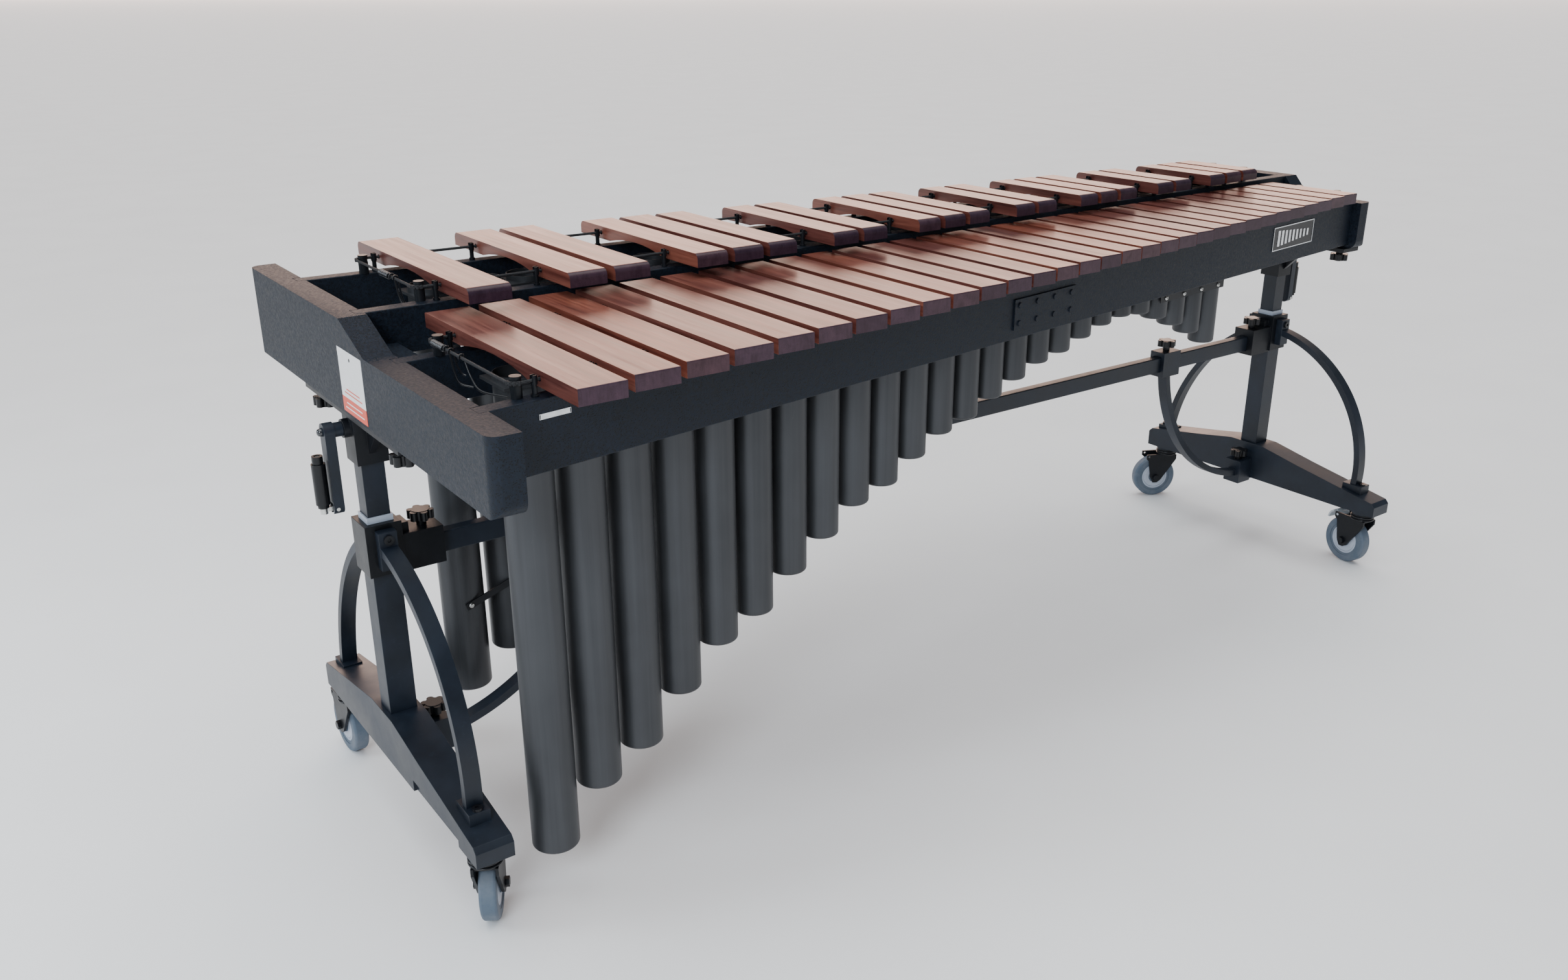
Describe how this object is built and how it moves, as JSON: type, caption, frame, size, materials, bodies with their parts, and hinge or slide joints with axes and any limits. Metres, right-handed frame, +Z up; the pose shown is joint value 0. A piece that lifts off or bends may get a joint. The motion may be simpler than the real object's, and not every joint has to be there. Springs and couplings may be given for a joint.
{
  "type": "marimba",
  "caption": "Concert marimba: two rows of rosewood bars on cords over closed tube resonators, in a tapered frame on a crank-height rolling stand",
  "frame": {"origin": "On the floor under the middle of the bounding box", "axes": "+X along the instrument from the low, wide end to the high, narrow end; -Y is the player side with the natural bars; +Z up"},
  "size_m": [2.177, 0.862, 0.831],
  "materials": {
    "caster_steel": "satin black",
    "caster_tyre": "matt blue-grey tyre on a light grey hub",
    "brake_grey": "satin light grey",
    "powder_coat": "fine-textured black powder coat",
    "cast_black": "textured black",
    "zinc": "zinc plated",
    "black_plastic": "satin black",
    "black_screws": "blackened",
    "speckled_black": "black paint with a hammered blue-grey speckle",
    "peg_black": "satin black",
    "rosewood": "gloss lacquered rosewood",
    "cord_black": "braided black cord",
    "resonator_grey": "satin charcoal anodised"
  },
  "bodies": {
    "stand": {"foot_low": "powder_coat", "foot_high": "powder_coat", "outer_post_low": "powder_coat", "outer_post_high": "powder_coat", "collar_low": "cast_black", "collar_high": "cast_black", "arches_low": "powder_coat", "arches_high": "powder_coat", "brace_low": "powder_coat", "brace_high": "powder_coat", "cross_beam": "powder_coat", "stand_screws": "black_screws"},
    "top": {"inner_post_low": "powder_coat", "inner_post_high": "powder_coat", "bracket_low": "cast_black", "bracket_high": "cast_black", "low_end_panel": "speckled_black", "high_end_panel": "speckled_black", "front_rail": "speckled_black", "natural_inner_rail": "speckled_black", "accidental_inner_rail": "speckled_black", "back_rail": "speckled_black", "rail_splices": "powder_coat", "bar_pegs": "peg_black", "natural_bars": "rosewood", "accidental_bars": "rosewood", "natural_cord": "cord_black", "accidental_cord": "cord_black", "cord_springs": "zinc", "natural_resonators": "resonator_grey", "accidental_resonators": "resonator_grey", "bank_plates": "resonator_grey"},
    "crank_low": {"crank_low": "powder_coat"},
    "lift_screw_low": {"lift_screw_low": "zinc"},
    "grip_pivot_low": {"grip_pivot_low": "zinc"},
    "grip_low": {"grip_low": "black_plastic"},
    "crank_high": {"crank_high": "powder_coat"},
    "lift_screw_high": {"lift_screw_high": "zinc"},
    "grip_pivot_high": {"grip_pivot_high": "zinc"},
    "grip_high": {"grip_high": "black_plastic"},
    "panel_knob_low_front": {"panel_knob_low_front": "black_plastic"},
    "panel_knob_low_back": {"panel_knob_low_back": "black_plastic"},
    "beam_knob_low": {"beam_knob_low": "black_plastic"},
    "brace_knob_low": {"brace_knob_low": "black_plastic"},
    "foot_knob_low": {"foot_knob_low": "black_plastic"},
    "panel_knob_high_front": {"panel_knob_high_front": "black_plastic"},
    "panel_knob_high_back": {"panel_knob_high_back": "black_plastic"},
    "beam_knob_high": {"beam_knob_high": "black_plastic"},
    "brace_knob_high": {"brace_knob_high": "black_plastic"},
    "foot_knob_high": {"foot_knob_high": "black_plastic"},
    "caster_fork_fl": {"caster_fork_fl": "caster_steel"},
    "caster_wheel_fl": {"caster_wheel_fl": "caster_tyre"},
    "brake_pedal_fl": {"brake_pedal_fl": "brake_grey"},
    "caster_fork_fr": {"caster_fork_fr": "caster_steel"},
    "caster_wheel_fr": {"caster_wheel_fr": "caster_tyre"},
    "brake_pedal_fr": {"brake_pedal_fr": "brake_grey"},
    "caster_fork_bl": {"caster_fork_bl": "caster_steel"},
    "caster_wheel_bl": {"caster_wheel_bl": "caster_tyre"},
    "caster_fork_br": {"caster_fork_br": "caster_steel"},
    "caster_wheel_br": {"caster_wheel_br": "caster_tyre"}
  },
  "joints": [
    {"name": "height_adjust", "type": "slide", "parent": "stand", "child": "top", "axis": [0, 0, 1], "range_m": [0, 0.2]},
    {"name": "crank_turn_low", "type": "hinge", "parent": "top", "child": "crank_low", "pos_m": [-1.011, 0.077, 0.64], "axis": [1, 0, 0], "range_deg": [-1, 3601]},
    {"name": "screw_turn_low", "type": "hinge", "parent": "top", "child": "lift_screw_low", "pos_m": [-1.011, 0.077, 0.43], "axis": [0, 0, 1], "range_deg": [-1, 3601]},
    {"name": "grip_fold_low", "type": "hinge", "parent": "crank_low", "child": "grip_pivot_low", "pos_m": [-1.063, 0.077, 0.532], "axis": [0, 1, 0], "range_deg": [-90, 0]},
    {"name": "grip_spin_low", "type": "hinge", "parent": "grip_pivot_low", "child": "grip_low", "pos_m": [-1.079, 0.077, 0.57], "axis": [0, 0, 1], "continuous": true},
    {"name": "crank_turn_high", "type": "hinge", "parent": "top", "child": "crank_high", "pos_m": [1.011, 0.077, 0.64], "axis": [1, 0, 0], "range_deg": [-1, 3601]},
    {"name": "screw_turn_high", "type": "hinge", "parent": "top", "child": "lift_screw_high", "pos_m": [1.011, 0.077, 0.43], "axis": [0, 0, 1], "range_deg": [-1, 3601]},
    {"name": "grip_fold_high", "type": "hinge", "parent": "crank_high", "child": "grip_pivot_high", "pos_m": [1.063, 0.077, 0.532], "axis": [0, 1, 0], "range_deg": [0, 90]},
    {"name": "grip_spin_high", "type": "hinge", "parent": "grip_pivot_high", "child": "grip_high", "pos_m": [1.079, 0.077, 0.57], "axis": [0, 0, 1], "continuous": true},
    {"name": "panel_knob_low_front_turn", "type": "hinge", "parent": "top", "child": "panel_knob_low_front", "pos_m": [-1.024, -0.112, 0.66], "axis": [0, 0, 1], "range_deg": [0, 720]},
    {"name": "panel_knob_low_back_turn", "type": "hinge", "parent": "top", "child": "panel_knob_low_back", "pos_m": [-1.024, 0.19, 0.66], "axis": [0, 0, 1], "range_deg": [0, 720]},
    {"name": "beam_knob_low_turn", "type": "hinge", "parent": "stand", "child": "beam_knob_low", "pos_m": [-0.948, 0.077, 0.49], "axis": [0, 0, 1], "range_deg": [0, 720]},
    {"name": "brace_knob_low_turn", "type": "hinge", "parent": "stand", "child": "brace_knob_low", "pos_m": [-0.664, 0.077, 0.485], "axis": [0, 0, 1], "range_deg": [0, 720]},
    {"name": "foot_knob_low_turn", "type": "hinge", "parent": "stand", "child": "foot_knob_low", "pos_m": [-0.96, 0.077, 0.18], "axis": [0, 0, 1], "range_deg": [0, 720]},
    {"name": "panel_knob_high_front_turn", "type": "hinge", "parent": "top", "child": "panel_knob_high_front", "pos_m": [1.024, -0.06, 0.66], "axis": [0, 0, 1], "range_deg": [0, 720]},
    {"name": "panel_knob_high_back_turn", "type": "hinge", "parent": "top", "child": "panel_knob_high_back", "pos_m": [1.024, 0.19, 0.66], "axis": [0, 0, 1], "range_deg": [0, 720]},
    {"name": "beam_knob_high_turn", "type": "hinge", "parent": "stand", "child": "beam_knob_high", "pos_m": [0.948, 0.077, 0.49], "axis": [0, 0, 1], "range_deg": [0, 720]},
    {"name": "brace_knob_high_turn", "type": "hinge", "parent": "stand", "child": "brace_knob_high", "pos_m": [0.664, 0.077, 0.485], "axis": [0, 0, 1], "range_deg": [0, 720]},
    {"name": "foot_knob_high_turn", "type": "hinge", "parent": "stand", "child": "foot_knob_high", "pos_m": [0.96, 0.077, 0.18], "axis": [0, 0, 1], "range_deg": [0, 720]},
    {"name": "swivel_fl", "type": "hinge", "parent": "stand", "child": "caster_fork_fl", "pos_m": [-1.011, -0.212, 0.113], "axis": [0, 0, 1], "continuous": true},
    {"name": "roll_fl", "type": "hinge", "parent": "caster_fork_fl", "child": "caster_wheel_fl", "pos_m": [-0.997, -0.18775, 0.05], "axis": [-0.866, 0.5, 0], "continuous": true},
    {"name": "brake_fl", "type": "hinge", "parent": "caster_fork_fl", "child": "brake_pedal_fl", "pos_m": [-0.987, -0.17043, 0.103], "axis": [-0.866, 0.5, 0], "range_deg": [0, 14]},
    {"name": "swivel_fr", "type": "hinge", "parent": "stand", "child": "caster_fork_fr", "pos_m": [1.011, -0.212, 0.113], "axis": [0, 0, 1], "continuous": true},
    {"name": "roll_fr", "type": "hinge", "parent": "caster_fork_fr", "child": "caster_wheel_fr", "pos_m": [1.0149, -0.18427, 0.05], "axis": [-0.9903, 0.1392, 0], "continuous": true},
    {"name": "brake_fr", "type": "hinge", "parent": "caster_fork_fr", "child": "brake_pedal_fr", "pos_m": [1.01768, -0.16447, 0.103], "axis": [-0.9903, 0.1392, 0], "range_deg": [0, 14]},
    {"name": "swivel_bl", "type": "hinge", "parent": "stand", "child": "caster_fork_bl", "pos_m": [-1.011, 0.316, 0.113], "axis": [0, 0, 1], "continuous": true},
    {"name": "roll_bl", "type": "hinge", "parent": "caster_fork_bl", "child": "caster_wheel_bl", "pos_m": [-1.01198, 0.34398, 0.05], "axis": [-0.9994, -0.0349, 0], "continuous": true},
    {"name": "swivel_br", "type": "hinge", "parent": "stand", "child": "caster_fork_br", "pos_m": [1.011, 0.316, 0.113], "axis": [0, 0, 1], "continuous": true},
    {"name": "roll_br", "type": "hinge", "parent": "caster_fork_br", "child": "caster_wheel_br", "pos_m": [0.98675, 0.33, 0.05], "axis": [-0.5, -0.866, 0], "continuous": true}
  ],
  "couplings": [
    {"joint": "crank_turn_low", "follows": "height_adjust", "rad_per_m": 314.16},
    {"joint": "screw_turn_low", "follows": "height_adjust", "rad_per_m": 314.16},
    {"joint": "crank_turn_high", "follows": "height_adjust", "rad_per_m": 314.16},
    {"joint": "screw_turn_high", "follows": "height_adjust", "rad_per_m": 314.16}
  ]
}
